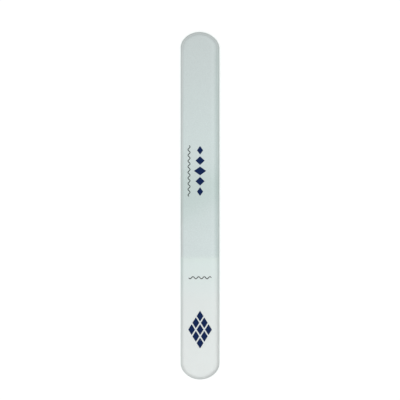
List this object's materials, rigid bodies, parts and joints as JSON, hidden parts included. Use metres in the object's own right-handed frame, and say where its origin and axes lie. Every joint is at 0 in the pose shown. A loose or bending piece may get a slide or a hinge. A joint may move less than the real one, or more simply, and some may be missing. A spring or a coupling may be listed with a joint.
{
  "type": "glass nail file",
  "caption": "Flat strip of toughened glass with rounded edges and ends, an etched abrasive blade on both faces, a smooth handle and small printed lozenges, for filing fingernails.",
  "frame": {"origin": "on the table under the middle of the file, which lies on its back", "axes": "+Y along the file to the filing tip, +Z out of the printed front face, +X to the right of that face"},
  "size_m": [0.0152, 0.135, 0.003],
  "materials": {
    "satin_glass": "satin",
    "etched_glass": "matte",
    "navy_ink": "satin",
    "grey_ink": "satin"
  },
  "bodies": {
    "root": {"glass_blank": "satin_glass", "front_abrasive_face": "etched_glass", "back_abrasive_face": "etched_glass", "handle_lozenge_1": "navy_ink", "handle_lozenge_2": "navy_ink", "handle_lozenge_3": "navy_ink", "handle_lozenge_4": "navy_ink", "handle_lozenge_5": "navy_ink", "handle_lozenge_6": "navy_ink", "handle_lozenge_7": "navy_ink", "handle_lozenge_8": "navy_ink", "handle_lozenge_9": "navy_ink", "handle_wave_line": "grey_ink", "blade_lozenge_1": "navy_ink", "blade_lozenge_2": "navy_ink", "blade_lozenge_3": "navy_ink", "blade_lozenge_4": "navy_ink", "blade_lozenge_5": "navy_ink", "blade_wave_line": "grey_ink"}
  },
  "joints": []
}
